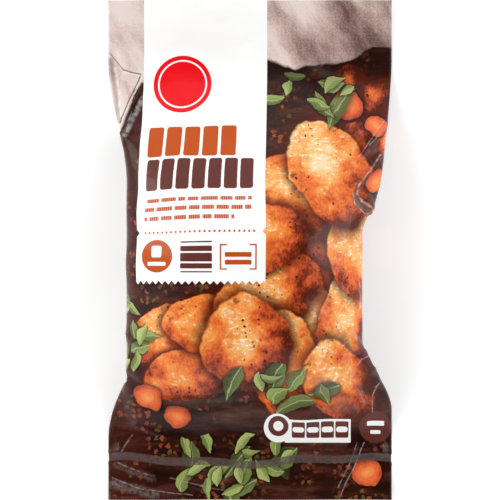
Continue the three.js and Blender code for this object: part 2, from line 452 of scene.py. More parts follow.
SIDE_FADE, CUT_FADE = 12.0, 8.0  # how far from the side edges and the cut ends the folds fade out
GROOVE_ROOM = (1.0, 12.0)  # heights of the bag between which a groove gains its full depth


def bag_form(rows, columns):
    """The bag with its bulges, folds and lifted ends, before the film settles."""
    y = np.linspace(-HALF_LENGTH, HALF_LENGTH, rows)
    around = np.arange(columns) * ROUND / columns
    plain, height = plain_bag(y, around)
    on_front = smooth(0, SIDE_FADE, around) * smooth(BAG_WIDTH, BAG_WIDTH - SIDE_FADE, around)
    cut_fade = ramp(HALF_LENGTH, HALF_LENGTH - CUT_FADE, np.abs(y))[:, None]
    rise = front_relief(plain[..., 0], plain[..., 1]) * on_front * cut_fade
    room = np.where(rise < 0, ramp(*GROOVE_ROOM, height)[:, None], 1)
    form = plain + outward_normals(plain) * (rise * room)[..., None]
    form[..., 2] += end_lift(form[..., 0], form[..., 1])
    return form, plain, height, around


SEAL_WAVES = ((2.6, 0.031, 1.2), (1.4, 0.083, 0.4))  # of the seal's line: height, rate and start
SEAL_PRESSED = (0.35, 0.7)  # depth of the heat seal and half width of its edges
SEAL_PUFF = (0.3, 1.6, 1.4)  # of the film beside the seal: height, distance and half width


def seal_relief(across, y):
    """The heat seal pressed into the film, at a way across the film and a place along the bag."""
    line = SEAL_Y + sum(height * np.sin(across * rate + start) for height, rate, start in SEAL_WAVES)
    away = np.abs(y - line) - SEAL_WIDTH / 2
    depth, edge = SEAL_PRESSED
    puff, distance, width = SEAL_PUFF
    beside = puff * np.exp(-((away - distance) / width) ** 2) * (away > 0)
    return beside - depth * smooth(edge, -edge, away)


def settled_bag():
    """The film's final places, its plain form, its height and the way round the tube of each column."""
    film = form = np.zeros((2, 1, 3))  # nothing has moved yet
    for stage, rows, columns in (("coarse", ROWS // 2 + 1, COLUMNS // 2), ("fine", ROWS, COLUMNS)):
        shift = resample(film - form, rows, columns)
        form, plain, height, around = bag_form(rows, columns)
        size, cells, seed = GRAIN[stage]
        grain = size * spread_noise(rows, columns, cells, seed)
        film = form + shift + outward_normals(form) * grain[..., None]
        settle(film, form, height, around, ROUNDS[stage])
    across = np.where(around > BAG_WIDTH, ROUND - around, around)[None]
    film += outward_normals(plain) * seal_relief(across, plain[..., 1])[..., None]
    film[..., 2] = np.maximum(film[..., 2], TABLE_CLEARANCE)
    return film, plain, height, around


# Print places: the label's two side edges on the flat top and on the filled body
LABEL_LEFT, LABEL_RIGHT = 31.8, 140.5  # ways round the film
LABEL_EDGES_FLAT = (-93.4, 15.2)  # across the bag, seen from above
LABEL_EDGES_BODY = (-97.6, 13.0)
BODY_HEIGHT = 80.0


def print_places(plain, height, around):
    """Print coordinate across the film at each row and column, with one more column to close it."""
    closed = np.append(around, ROUND)
    front = around <= BAG_WIDTH
    full = ramp(0, BODY_HEIGHT, height)
    across = np.zeros((len(plain), len(closed)))
    for row in range(len(plain)):
        edges = [a + (b - a) * full[row] for a, b in zip(LABEL_EDGES_FLAT, LABEL_EDGES_BODY)]
        left, right = np.interp(edges, plain[row, front, 0], around[front])
        knots = (0, left, right, BAG_WIDTH, ROUND)
        places = (LABEL_LEFT - left, LABEL_LEFT, LABEL_RIGHT, LABEL_RIGHT + BAG_WIDTH - right,
                  LABEL_LEFT - left + ROUND)
        across[row] = np.interp(closed, knots, places)
    return across


def film_mesh():
    """The film tube with its cut ends, and a UV map that holds the print coordinates."""
    film, plain, height, around = settled_bag()
    across = print_places(plain, height, around)
    bm = bmesh.new()
    uv = bm.loops.layers.uv.new("print")
    bmesh.ops.create_grid(bm, x_segments=COLUMNS, y_segments=ROWS - 1, size=0.5)
    bm.verts.ensure_lookup_table()
    back_middle = COLUMNS * 3 // 4
    for face in bm.faces:
        first = min(corner.vert.index % (COLUMNS + 1) for corner in face.loops)
        for corner in face.loops:
            row, column = divmod(corner.vert.index, COLUMNS + 1)
            way = across[row, column] - (ROUND if first >= back_middle else 0)
            corner[uv].uv = ((way + BAG_WIDTH / 2) / ROUND, plain[row, 0, 1] / BAG_LENGTH + 0.5)
    closed = np.concatenate([film, film[:, :1]], 1).reshape(-1, 3) * MM
    for vert, place in zip(bm.verts, closed):
        vert.co = place
    bmesh.ops.remove_doubles(bm, verts=bm.verts[:], dist=1e-7)
    for end in (-1, 1):
        close_cut_end(bm, end)
    bmesh.ops.recalc_face_normals(bm, faces=bm.faces[:])
    mesh = bpy.data.meshes.new("film")
    bm.to_mesh(mesh)
    bm.free()
    return mesh


def close_cut_end(bm, end):
    """Turns the film in at a cut edge, so that one looks a little way between its two layers."""
    rim = [e for e in bm.edges if e.is_boundary and e.verts[0].co.y * end > 0]
    slot = CUT_EDGE_SLOT * MM
    heights = {}
    for vert in {v for e in rim for v in e.verts}:
        heights.setdefault(round(vert.co.x / slot), []).append(vert.co.z)
    for across, inward in ((FILM_THICKNESS, 0.0), (0.0, CUT_EDGE_DEPTH)):
        made = bmesh.ops.extrude_edge_only(bm, edges=rim)
        rim = [e for e in made["geom"] if isinstance(e, bmesh.types.BMEdge)]
        for vert in {v for e in rim for v in e.verts}:
            nearby = heights[round(vert.co.x / slot)]
            vert.co.z += math.copysign(across * MM, sum(nearby) / len(nearby) - vert.co.z)
            vert.co.y -= end * inward * MM
    bmesh.ops.contextual_create(bm, geom=rim)


# Shader tools


class Tree:
    """Short calls that add nodes to one node tree and link them."""

    def __init__(self, tree):
        self.tree = tree

    def node(self, kind, **settings):
        made = self.tree.nodes.new("ShaderNode" + kind)
        for name, value in settings.items():
            setattr(made, name, value)
        return made

    def feed(self, socket, value):
        if isinstance(value, bpy.types.NodeSocket):
            self.tree.links.new(value, socket)
        else:
            socket.default_value = value

    def filled(self, node, values):
        for socket, value in zip(node.inputs, values):
            self.feed(socket, value)
        return node

    def named(self, node, **values):
        """Fills a node's inputs by name, with _ for a space."""
        for name, value in values.items():
            self.feed(node.inputs[name.replace("_", " ").capitalize()], value)
        return node

    def calc(self, operation, *values):
        return self.filled(self.node("Math", operation=operation), values).outputs[0]

    def vector(self, operation, *values):
        made = self.filled(self.node("VectorMath", operation=operation), values)
        return made.outputs["Value" if operation in ("LENGTH", "DOT_PRODUCT") else "Vector"]

    def scaled(self, vector, factor):
        made = self.named(self.node("VectorMath", operation="SCALE"), vector=vector, scale=factor)
        return made.outputs["Vector"]

    def turned(self, vector, angle, centre=(0, 0, 0)):
        made = self.node("VectorRotate", rotation_type="Z_AXIS")
        return self.named(made, vector=vector, center=centre, angle=angle).outputs["Vector"]

    def between(self, share, low, high):
        """Goes straight from low to high as the share goes from 0 to 1."""
        return self.calc("MULTIPLY_ADD", share, high - low, low)

    def step(self, value, low, high, low_out=0.0, high_out=1.0):
        """Goes smoothly from one value to the other; low may be above high."""
        made = self.node("MapRange", interpolation_type="SMOOTHSTEP")
        return self.filled(made, (value, low, high, low_out, high_out)).outputs["Result"]

    def mix(self, share, under, over):
        made = self.node("Mix", data_type="RGBA")
        for index, value in ((0, share), (6, under), (7, over)):
            self.feed(made.inputs[index], value)
        return made.outputs[2]

    def noise(self, place, scale, detail=3.0, roughness=0.55, output="Fac"):
        made = self.node("TexNoise")
        self.named(made, vector=place, scale=scale, detail=detail, roughness=roughness)
        return made.outputs[output]

    def cells(self, place, scale, randomness=1.0):
        made = self.node("TexVoronoi", voronoi_dimensions="2D")
        return self.named(made, vector=place, scale=scale, randomness=randomness)

    def ramp(self, value, stops):
        made = self.node("ValToRGB")
        stops = [(place, shade(colour)) for place, colour in stops]
        elements = made.color_ramp.elements
        while len(elements) < len(stops):
            elements.new(0.5)
        for element, (place, colour) in zip(elements, stops):
            element.position = place
            element.color = colour
        self.feed(made.inputs["Fac"], value)
        return made.outputs["Color"]

    def split(self, vector):
        made = self.node("SeparateXYZ")
        self.feed(made.inputs[0], vector)
        return made.outputs["X"], made.outputs["Y"]

    def joined(self, x, y):
        return self.filled(self.node("CombineXYZ"), (x, y)).outputs[0]

    def group(self, group, **values):
        return self.named(self.node("Group", node_tree=group), **values).outputs


def shade(colour):
    """A colour given as 0 to 255 on screen, as Blender's linear numbers."""
    parts = [value / 255 for value in colour]
    linear = [p / 12.92 if p <= 0.04045 else ((p + 0.055) / 1.055) ** 2.4 for p in parts]
    return (*linear, 1.0)


def new_group(name, inputs, outputs):
    """An empty shader group: its tree helper, its inputs by name and a call that sets its outputs."""
    group = bpy.data.node_groups.new(name, "ShaderNodeTree")
    for label, kind in inputs.items():
        group.interface.new_socket(name=label, in_out="INPUT", socket_type="NodeSocket" + kind)
    for label, kind in outputs.items():
        group.interface.new_socket(name=label, in_out="OUTPUT", socket_type="NodeSocket" + kind)
    entry = group.nodes.new("NodeGroupInput")
    leave = group.nodes.new("NodeGroupOutput")
    tree = Tree(group)

    def put(**values):
        tree.named(leave, **values)
        return group

    return tree, entry.outputs, put


# Simple printed shapes, each a group that is placed with its own values


def make_bar():
    """A bar with round corners. Core is half its size less the corner."""
    inputs = {"Place": "Vector", "Centre": "Vector", "Core": "Vector", "Corner": "Float", "Blur": "Float"}
    t, given, put = new_group("printed bar", inputs, {"Mask": "Float"})
    offset = t.vector("ABSOLUTE", t.vector("SUBTRACT", given["Place"], given["Centre"]))
    beyond = t.vector("MAXIMUM", t.vector("SUBTRACT", offset, given["Core"]), (0, 0, 0))
    outside = t.calc("ADD", given["Corner"], given["Blur"])
    inside = t.calc("SUBTRACT", given["Corner"], given["Blur"])
    return put(mask=t.step(t.vector("LENGTH", beyond), outside, inside))


def reach_in(t, place, middle, radii):
    """0 in the middle of an upright oval, 1 at its edge and more outside."""
    return t.vector("LENGTH", t.vector("DIVIDE", t.vector("SUBTRACT", place, middle), radii))


def make_oval():
    """An oval with its mask and its reach, which is 0 in its middle and 1 at its edge."""
    inputs = {"Place": "Vector", "Centre": "Vector", "Radii": "Vector", "Turn": "Float", "Blur": "Float"}
    t, given, put = new_group("printed oval", inputs, {"Mask": "Float", "Reach": "Float"})
    turned = t.turned(given["Place"], given["Turn"], given["Centre"])
    reach = reach_in(t, turned, given["Centre"], given["Radii"])
    edge = t.calc("SUBTRACT", 1.0, given["Blur"])
    return put(mask=t.step(reach, t.calc("ADD", 1.0, given["Blur"]), edge), reach=reach)


def make_scatter():
    """Cells with a place, a random turn and random numbers each, for motifs that lie about."""
    inputs = {"Place": "Vector", "Scale": "Float"}
    t, given, put = new_group("scatter", inputs, {"Local": "Vector", "Cell": "Vector", "Draw": "Color"})
    cells = t.cells(given["Place"], given["Scale"], randomness=0.75)
    cell, draw = cells.outputs["Position"], cells.outputs["Color"]
    offset = t.scaled(t.vector("SUBTRACT", given["Place"], cell), given["Scale"])
    local = t.turned(offset, t.calc("MULTIPLY", t.split(draw)[0], 2 * math.pi))
    return put(local=local, cell=cell, draw=draw)


# The leaf's sizes are shares of a cell
LEAF_HALF_LENGTH = (0.38, 0.62)
LEAF_HALF_WIDTH, LEAF_TAPER = 0.2, 0.07
LEAF_BEND = (-0.12, 0.18)
LEAF_EDGE = (0.01, -0.012)
LEAF_SHADOW = {"edge": (0.16, -0.02), "strength": 0.75, "ink": (24, 12, 8)}
LEAF_RIBS = {"slant": 2.2, "rate": 24.0, "height": 0.03}
LEAF_LIGHT = {"sides": (-0.14, 0.16), "by side": 0.6, "by tone": 0.5}
LEAF_VEIN = {"edge": (0.022, 0.008), "strength": 0.6, "ink": (190, 200, 146)}
HERBS_BEGIN = (0.45, 0.5)


def make_leaves():
    """Pointed leaves with a pale middle vein, strewn over what is under them where there are herbs."""
    inputs = {"Under": "Color", "Place": "Vector", "Scale": "Float", "Herbs": "Float", "Light": "Color",
              "Dark": "Color"}
    t, given, put = new_group("printed leaves", inputs, {"Colour": "Color"})
    strewn = t.group(SCATTER, place=given["Place"], scale=given["Scale"])
    tone, chance = t.split(strewn["Draw"])
    x, y = t.split(strewn["Local"])
    x = t.calc("DIVIDE", x, t.between(chance, *LEAF_HALF_LENGTH))
    bend = t.between(tone, *LEAF_BEND)
    y = t.calc("MULTIPLY_ADD", t.calc("MULTIPLY", x, x), bend, y)
    body = t.calc("SUBTRACT", 1.0, t.calc("MULTIPLY", x, x))
    taper = t.calc("SUBTRACT", LEAF_HALF_WIDTH, t.calc("MULTIPLY", x, LEAF_TAPER))
    aside = t.calc("ABSOLUTE", y)
    beyond = t.calc("SUBTRACT", aside, t.calc("MULTIPLY", body, taper))
    here = t.step(given["Herbs"], *HERBS_BEGIN)
    mask = t.calc("MULTIPLY", t.step(beyond, *LEAF_EDGE), here)
    shadow = t.calc("MULTIPLY", t.step(beyond, *LEAF_SHADOW["edge"], 0, LEAF_SHADOW["strength"]), here)
    slanted = t.calc("SUBTRACT", x, t.calc("MULTIPLY", aside, LEAF_RIBS["slant"]))
    ribs = t.calc("SINE", t.calc("MULTIPLY", slanted, LEAF_RIBS["rate"]))
    side = t.step(t.calc("ADD", y, t.calc("MULTIPLY", ribs, LEAF_RIBS["height"])), *LEAF_LIGHT["sides"])
    light = t.calc("ADD", t.calc("MULTIPLY", side, LEAF_LIGHT["by side"]),
                   t.calc("MULTIPLY", tone, LEAF_LIGHT["by tone"]))
    green = t.mix(light, given["Dark"], given["Light"])
    vein = t.step(aside, *LEAF_VEIN["edge"], 0, LEAF_VEIN["strength"])
    green = t.mix(vein, green, shade(LEAF_VEIN["ink"]))
    under = t.mix(shadow, given["Under"], shade(LEAF_SHADOW["ink"]))
    return put(colour=t.mix(mask, under, green))


ROAST_SKIN = ((0.0, (84, 28, 14)), (0.12, (132, 48, 24)), (0.24, (190, 80, 42)), (0.38, (228, 110, 50)),
              (0.56, (240, 148, 68)), (0.78, (246, 184, 106)), (1.0, (248, 216, 172)))
ROAST_LIGHT = {"slope": (-0.006, 0.007, 0), "dome": 0.4, "whole": 0.1}
ROAST_GLINTS = {"edge": (0.45, 0.75), "strength": 0.85, "ink": (255, 246, 232)}
ROAST_CHAR = {"edge": (0.45, 1.0), "strength": (0.15, 0.85), "ink": (62, 24, 15)}
ROAST_SHADOW = {"edge": (1.3, 0.97), "strength": 0.9, "ink": (74, 22, 8)}


def make_roast_piece():
    """A rounded golden roasted piece with browned spots, laid over what is under it."""
    inputs = {"Under": "Color", "Place": "Vector", "Centre": "Vector", "Radii": "Vector", "Turn": "Float",
              "Tone": "Float", "Patches": "Float", "Spots": "Float", "Glints": "Float"}
    t, given, put = new_group("printed roasted piece", inputs, {"Colour": "Color", "Place": "Vector"})
    oval = t.group(OVAL, place=given["Place"], centre=given["Centre"], radii=given["Radii"],
                   turn=given["Turn"], blur=0.03)
    from_centre = t.vector("SUBTRACT", given["Place"], given["Centre"])
    lean = t.vector("DOT_PRODUCT", from_centre, ROAST_LIGHT["slope"])
    dome = t.step(oval["Reach"], 1.0, 0.0)
    light = t.calc("ADD", t.calc("MULTIPLY_ADD", dome, ROAST_LIGHT["dome"], lean), given["Patches"])
    light = t.calc("ADD", t.calc("SUBTRACT", light, given["Tone"]), ROAST_LIGHT["whole"])
    lit = t.step(light, *ROAST_GLINTS["edge"], 0, ROAST_GLINTS["strength"])
    glint = t.calc("MULTIPLY", given["Glints"], lit)
    skin = t.mix(glint, t.ramp(light, ROAST_SKIN), shade(ROAST_GLINTS["ink"]))
    charred = t.step(oval["Reach"], *ROAST_CHAR["edge"], *ROAST_CHAR["strength"])
    skin = t.mix(t.calc("MULTIPLY", given["Spots"], charred), skin, shade(ROAST_CHAR["ink"]))
    shadow = t.step(oval["Reach"], *ROAST_SHADOW["edge"], 0, ROAST_SHADOW["strength"])
    under = t.mix(shadow, given["Under"], shade(ROAST_SHADOW["ink"]))
    colour = t.mix(oval["Mask"], under, skin)
    return put(colour=colour, place=after(t, colour, given["Place"]))


ROOT_FLESH = ((0.0, (246, 170, 92)), (0.3, (243, 140, 76)), (0.55, (236, 112, 62)), (0.9, (168, 62, 38)))
ROOT_TONE = {"by reach": 0.7, "by patches": 0.6}
ROOT_RING = {"inner": (0.4, 0.46), "outer": (0.54, 0.48), "strength": 0.4, "ink": (214, 84, 44)}
ROOT_SHADOW = {"edge": (1.35, 0.95), "strength": 0.85, "ink": (22, 9, 6)}


def make_root_slice():
    """A round slice of an orange root, laid over what is under it."""
    inputs = {"Under": "Color", "Place": "Vector", "Centre": "Vector", "Radii": "Vector", "Turn": "Float",
              "Patches": "Float"}
    t, given, put = new_group("printed root slice", inputs, {"Colour": "Color", "Place": "Vector"})
    oval = t.group(OVAL, place=given["Place"], centre=given["Centre"], radii=given["Radii"],
                   turn=given["Turn"], blur=0.04)
    patchy = t.calc("MULTIPLY", given["Patches"], ROOT_TONE["by patches"])
    tone = t.calc("MULTIPLY_ADD", oval["Reach"], ROOT_TONE["by reach"], patchy)
    inner, outer = t.step(oval["Reach"], *ROOT_RING["inner"]), t.step(oval["Reach"], *ROOT_RING["outer"])
    ring = t.calc("MULTIPLY", t.calc("MULTIPLY", inner, outer), ROOT_RING["strength"])
    flesh = t.mix(ring, t.ramp(tone, ROOT_FLESH), shade(ROOT_RING["ink"]))
    shadow = t.step(oval["Reach"], *ROOT_SHADOW["edge"], 0, ROOT_SHADOW["strength"])
    under = t.mix(shadow, given["Under"], shade(ROOT_SHADOW["ink"]))
    colour = t.mix(oval["Mask"], under, flesh)
    return put(colour=colour, place=after(t, colour, given["Place"]))


def after(t, colour, place):
    """The same place, but reckoned after the colour, so that a long pile stays short of open values."""
    return t.vector("MULTIPLY_ADD", colour, (1e-6, 1e-6, 0), place)


OVAL = make_oval()
BAR = make_bar()
SCATTER = make_scatter()
LEAVES = make_leaves()
ROAST_PIECE = make_roast_piece()
ROOT_SLICE = make_root_slice()


# The picture: linen, a dark board, golden roasted pieces, orange root slices and green leaves
LINEN_TONES = ((0.0, (104, 80, 74)), (0.22, (166, 140, 133)), (0.4, (208, 184, 177)), (0.6, (230, 213, 207)))
LINEN_WEAVE = {"rate": 5.2, "height": 0.035}
LINEN_FOLDS = {"slant": 0.5, "tone": (-0.16, 1.19)}
LINEN_GRAIN = 0.35
LINEN_SHADE = {"across": (120.0, 215.0), "depth": 0.3}  # darker towards the right


def make_linen():
    t, given, put = new_group("printed linen", {"Place": "Vector"}, {"Colour": "Color"})
    x, y = t.split(given["Place"])
    threads = [t.calc("SINE", t.calc("MULTIPLY", way, LINEN_WEAVE["rate"])) for way in (x, y)]
    weave = t.calc("MULTIPLY", t.calc("ADD", *threads), LINEN_WEAVE["height"])
    slanted = t.joined(t.calc("MULTIPLY_ADD", y, LINEN_FOLDS["slant"], x), y)
    slanted = t.vector("MULTIPLY", slanted, (1.0, 0.5, 1.0))
    folds = t.between(t.noise(slanted, 0.03, 5.0, 0.62), *LINEN_FOLDS["tone"])
    grain = t.calc("MULTIPLY", t.calc("SUBTRACT", t.noise(given["Place"], 0.7, 2.0), 0.5), LINEN_GRAIN)
    darker = t.step(x, *LINEN_SHADE["across"], 0.0, LINEN_SHADE["depth"])
    tone = t.calc("ADD", t.calc("ADD", folds, weave), t.calc("SUBTRACT", grain, darker))
    return put(colour=t.ramp(tone, LINEN_TONES))


WOOD_TONES = ((0.3, (20, 7, 4)), (0.5, (48, 21, 15)), (0.62, (80, 43, 34)), (0.78, (124, 88, 76)))
WOOD_GLOW = {"across": (44.0, 24.0), "strength": 0.35, "ink": (88, 32, 22)}  # warmer towards the left
BIT_TONES = ((0.0, (40, 20, 14)), (0.4, (118, 52, 32)), (0.65, (170, 84, 50)), (0.9, (92, 84, 44)))
BITS = {"shaken": 7.0, "rate": 0.17, "edge": (0.36, 0.28), "strewn": (0.46, 0.58), "strength": 0.8}


def make_board():
    """Dark wood with small browned bits scattered on it."""
    t, given, put = new_group("printed board", {"Place": "Vector"}, {"Colour": "Color"})
    stretched = t.vector("MULTIPLY", given["Place"], (0.25, 1.0, 1.0))
    streaks = t.noise(stretched, 0.06, 6.0, 0.65)
    shaken = t.scaled(t.noise(given["Place"], 0.25, 3.0, 0.6, "Color"), BITS["shaken"])
    bits = t.cells(t.vector("ADD", given["Place"], shaken), BITS["rate"])
    bit = t.ramp(t.split(bits.outputs["Color"])[0], BIT_TONES)
    strewn = t.step(t.noise(given["Place"], 0.03, 2.0), *BITS["strewn"], 0, BITS["strength"])
    where = t.calc("MULTIPLY", t.step(bits.outputs["Distance"], *BITS["edge"]), strewn)
    x, _ = t.split(given["Place"])
    glow = t.step(x, *WOOD_GLOW["across"], 0, WOOD_GLOW["strength"])
    wood = t.mix(glow, t.ramp(streaks, WOOD_TONES), shade(WOOD_GLOW["ink"]))
    return put(colour=t.mix(where, wood, bit))


PIECE_DRAW = {"length": (0.9, 1.2), "width": (0.62, 0.82), "browning": 0.2}  # of a roasted piece


def scattered(count, middle, radii, size, browned, seed):
    """Places, radii, turns and tones of pieces spread evenly over an oval."""
    rng = np.random.default_rng(seed)
    golden_turn = math.pi * (3 - math.sqrt(5))
    for i in range(count):
        away = math.sqrt((i + 0.5) / count)
        angle = i * golden_turn
        x, y = middle[0] + radii[0] * away * math.cos(angle), middle[1] + radii[1] * away * math.sin(angle)
        longer, wider, turn, tone = rng.uniform(0, 1, 4)
        length = size * np.interp(longer, (0, 1), PIECE_DRAW["length"])
        width = size * np.interp(wider, (0, 1), PIECE_DRAW["width"])
        yield {"centre": (x, y, 0), "radii": (length, width, 1), "turn": math.pi * turn,
               "tone": browned + PIECE_DRAW["browning"] * tone}


HEAPS = (  # roasted pieces: number, middle and radii of the heap, size of a piece, browning, seed
    {"count": 7, "middle": (222, 112), "radii": (38, 36), "size": 21, "browned": 0.34, "seed": 7},
    {"count": 4, "middle": (70, -84), "radii": (36, 30), "size": 31, "browned": 0.03, "seed": 4},
    {"count": 13, "middle": (180, -30), "radii": (64, 106), "size": 44, "browned": -0.02, "seed": 11},
)
ROOT_SLICES = (((38, -128), 13, 11), ((62, -146), 12, 10), ((212, 128), 14, 12), ((236, 108), 11, 10),
               ((228, -196), 13, 12), ((238, 60), 10, 12))  # middle and radii across and along
HERB_BEDS = (  # middle, radii and strength of each place where herbs lie
    ((14, -70), (34, 46), 1.0),
    ((110, -186), (62, 28), 0.86),
    ((176, 140), (60, 20), 0.9),
    ((150, -120), (50, 16), 0.7),
)
LEAF_LAYERS = (  # cell size in mm, shift, light and dark green
    (38.0, (11, 7), (118, 132, 74), (50, 58, 26)),
    (27.0, (3, 19), (150, 166, 94), (70, 82, 38)),
    (20.0, (15, 2), (178, 192, 116), (96, 110, 50)),
)


HERBS_PATCHY = 1.4
HERB_BED_EDGE = (1.25, 0.5)


def herb_share(t, place, patches):
    """How likely herbs are at a place."""
    total = t.calc("MULTIPLY", t.calc("SUBTRACT", patches, 0.5), HERBS_PATCHY)
    for middle, radii, strength in HERB_BEDS:
        reach = reach_in(t, place, (*middle, 0), (*radii, 1))
        total = t.calc("ADD", total, t.step(reach, *HERB_BED_EDGE, 0, strength))
    return total


PEPPER = {"rate": 0.16, "radius": (-0.06, 0.18), "edge": 0.03, "strewn": (0.5, 0.6), "ink": (46, 22, 14)}


def peppercorns(t, place):
    """Small dark specks strewn over the roasted pieces."""
    grains = t.cells(place, PEPPER["rate"])
    radius = t.between(t.split(grains.outputs["Color"])[0], *PEPPER["radius"])
    strewn = t.step(t.noise(place, 0.02, 2.0), *PEPPER["strewn"])
    beyond = t.calc("SUBTRACT", grains.outputs["Distance"], radius)
    return t.calc("MULTIPLY", t.step(beyond, PEPPER["edge"], -PEPPER["edge"]), strewn)


HEM = {"linen": (168.0, 171.0), "rate": 0.045, "height": 9.0}  # the linen's wavy hem
HEM_SHADOW = {"along": (136.0, 174.0), "strength": 0.8, "ink": (30, 16, 12)}
HEM_DROP = {"across": (42.0, 4.0), "depth": 66.0}  # how the hem runs down to the left side edge


def linen_hem(t, place):
    """How far a place is along the bag, with the linen's wavy hem made straight."""
    x, y = t.split(place)
    wave = t.calc("SINE", t.calc("MULTIPLY", x, HEM["rate"]))
    hem = t.calc("ADD", y, t.calc("MULTIPLY", wave, HEM["height"]))
    return t.calc("ADD", hem, t.step(x, *HEM_DROP["across"], 0.0, HEM_DROP["depth"]))


def make_picture():
    t, given, put = new_group("printed picture", {"Place": "Vector"}, {"Colour": "Color"})
    sway = t.noise(given["Place"], 0.04, 3.0, 0.5, "Color")
    uneven = t.vector("ADD", given["Place"], t.scaled(t.vector("SUBTRACT", sway, (0.5, 0.5, 0.5)), 14.0))
    uneven = t.vector("MULTIPLY", uneven, (1, 1, 0))
    patches = t.noise(given["Place"], 0.045, 7.0, 0.66)
    wrinkled = t.noise(t.vector("MULTIPLY", uneven, (1.7, 0.8, 1)), 0.35, 3.0, 0.6)
    patches = t.calc("MULTIPLY_ADD", patches, 1.55, t.calc("MULTIPLY_ADD", wrinkled, 0.4, -0.74))
    spots = t.step(t.noise(given["Place"], 0.1, 6.0, 0.7), 0.54, 0.68)
    glints = t.step(t.noise(t.vector("MULTIPLY", given["Place"], (1, 1.9, 1)), 0.2, 5.0, 0.7), 0.52, 0.62)
    colour = t.group(BOARD, place=given["Place"])["Colour"]
    place = uneven
    for heap in HEAPS:
        for values in scattered(**heap):
            piece = t.group(ROAST_PIECE, under=colour, place=place, patches=patches, spots=spots,
                            glints=glints, **values)
            colour, place = piece["Colour"], piece["Place"]
    colour = t.mix(peppercorns(t, uneven), colour, shade(PEPPER["ink"]))
    for (x, y), across, along in ROOT_SLICES:
        piece = t.group(ROOT_SLICE, under=colour, place=place, centre=(x, y, 0), radii=(across, along, 1),
                        turn=0.6, patches=patches)
        colour, place = piece["Colour"], piece["Place"]
    for pitch, shift, light, dark in LEAF_LAYERS:
        moved = t.vector("ADD", place, (*shift, 0))
        cell = t.group(SCATTER, place=moved, scale=1 / pitch)["Cell"]
        bed = t.vector("SUBTRACT", cell, (*shift, 0))
        herbs = herb_share(t, bed, t.noise(bed, 0.03, 2.0))
        colour = t.group(LEAVES, under=colour, place=moved, scale=1 / pitch, herbs=herbs, light=shade(light),
                         dark=shade(dark))["Colour"]
        place = after(t, colour, place)
    hem = linen_hem(t, place)
    shadow = t.step(hem, *HEM_SHADOW["along"], 0, HEM_SHADOW["strength"])
    colour = t.mix(shadow, colour, shade(HEM_SHADOW["ink"]))
    colour = t.mix(t.step(hem, *HEM["linen"]), colour, t.group(LINEN, place=given["Place"])["Colour"])
    return put(colour=colour)


LINEN = make_linen()
BOARD = make_board()
PICTURE = make_picture()


# The label and the small panels: plain bars, blocks, dashes and discs
WHITE, ORANGE, BROWN, RED = (253, 253, 252), (188, 79, 20), (99, 51, 44), (236, 20, 30)


def bar(t, place, left, right, bottom, top, corner=0.8, blur=0.25):
    centre = ((left + right) / 2, (bottom + top) / 2, 0)
    core = ((right - left) / 2 - corner, (top - bottom) / 2 - corner, 100)
    return t.group(BAR, place=place, centre=centre, core=core, corner=corner, blur=blur)["Mask"]


def bars(t, place, *shapes):
    """One mask for several bars, each given by its left, right, bottom and top and maybe its corner."""
    return all_of(t, [bar(t, place, *shape) for shape in shapes])


def disc(t, place, x, y, radius, blur=0.3):
    return t.group(OVAL, place=place, centre=(x, y, 0), radii=(radius, radius, 1), turn=0.0,
                   blur=blur / radius)["Mask"]


def all_of(t, masks):
    """One mask that shows wherever any of the masks does."""
    total = masks[0]
    for mask in masks[1:]:
        total = t.calc("MAXIMUM", total, mask)
    return total


def repeated(t, place, first, pitch, count, axis="x"):
    """Place folded so that one shape at the first place shows count times, each one pitch further."""
    x, y = t.split(place)
    way = x if axis == "x" else y
    steps = t.calc("FLOOR", t.calc("DIVIDE", t.calc("SUBTRACT", way, first - pitch / 2), pitch))
    steps = t.calc("MINIMUM", t.calc("MAXIMUM", steps, 0.0), count - 1.0)
    folded = t.calc("SUBTRACT", way, t.calc("MULTIPLY", steps, pitch))
    return t.joined(folded, y) if axis == "x" else t.joined(x, folded)


# The label's layout, across from its left edge and along from the middle of the bag
RED_DISC = {"middle": (34.4, 146.0), "radius": 25.5, "ring": (21.6, 20.2)}
BLOCK_ROWS = (  # left, bottom, top, number of blocks, block pitch, block width and ink
    (7.2, 79.9, 107.3, 5, 15.7, 13.2, ORANGE),
    (8.0, 50.0, 77.8, 7, 13.3, 11.0, BROWN),
)
SMALL_ROWS = (  # left, right, bottom, top and shift of the dashes
    (8.0, 98.0, 39.4, 42.8, 0.0),
    (8.0, 97.4, 31.7, 35.1, 37.0),
    (8.0, 83.6, 24.0, 27.4, 71.0),
)
DOTS = {"first": 9.0, "pitch": 3.93, "count": 24, "along": 14.3, "radius": 0.95}
ORANGE_DISC = (20.0, -5.6, 14.0)
ORANGE_DISC_SIGNS = ((15.5, 24.5, -6.4, 3.4, 1.6), (11.8, 28.2, -13.6, -10.4))
STRIPES = {"across": (40.5, 66.3),
           "along": ((5.6, 6.8), (-1.3, 3.1), (-9.9, -2.6), (-16.0, -11.4), (-19.4, -18.2))}
BRACKETS = {"outer": (72.4, 101.7, -17, 4.4, 0.5), "inner": (73.6, 100.5, -15.8, 3.2, 0.5),
            "gap": (78, 96, -20, 8, 0.5), "signs": ((76.4, 97.6, -5.9, -2.0), (76.4, 97.6, -12.6, -8.4))}
LABEL_END = {"along": -29.8, "tooth": 2.85, "slope": 1.1}  # the saw-toothed lower edge
LABEL_NOTCH = {"along": 14.3, "half": 3.4, "depth": 2.6}  # the small notch in each side


DASHES = {"rate": 0.085, "uneven": 0.75, "gap": (0.06, 0.1)}
STROKES = {"rate": 3.6, "edge": (-1.0, 0.2), "ink": (0.75, 1.0)}  # paler and darker stretches of a dash


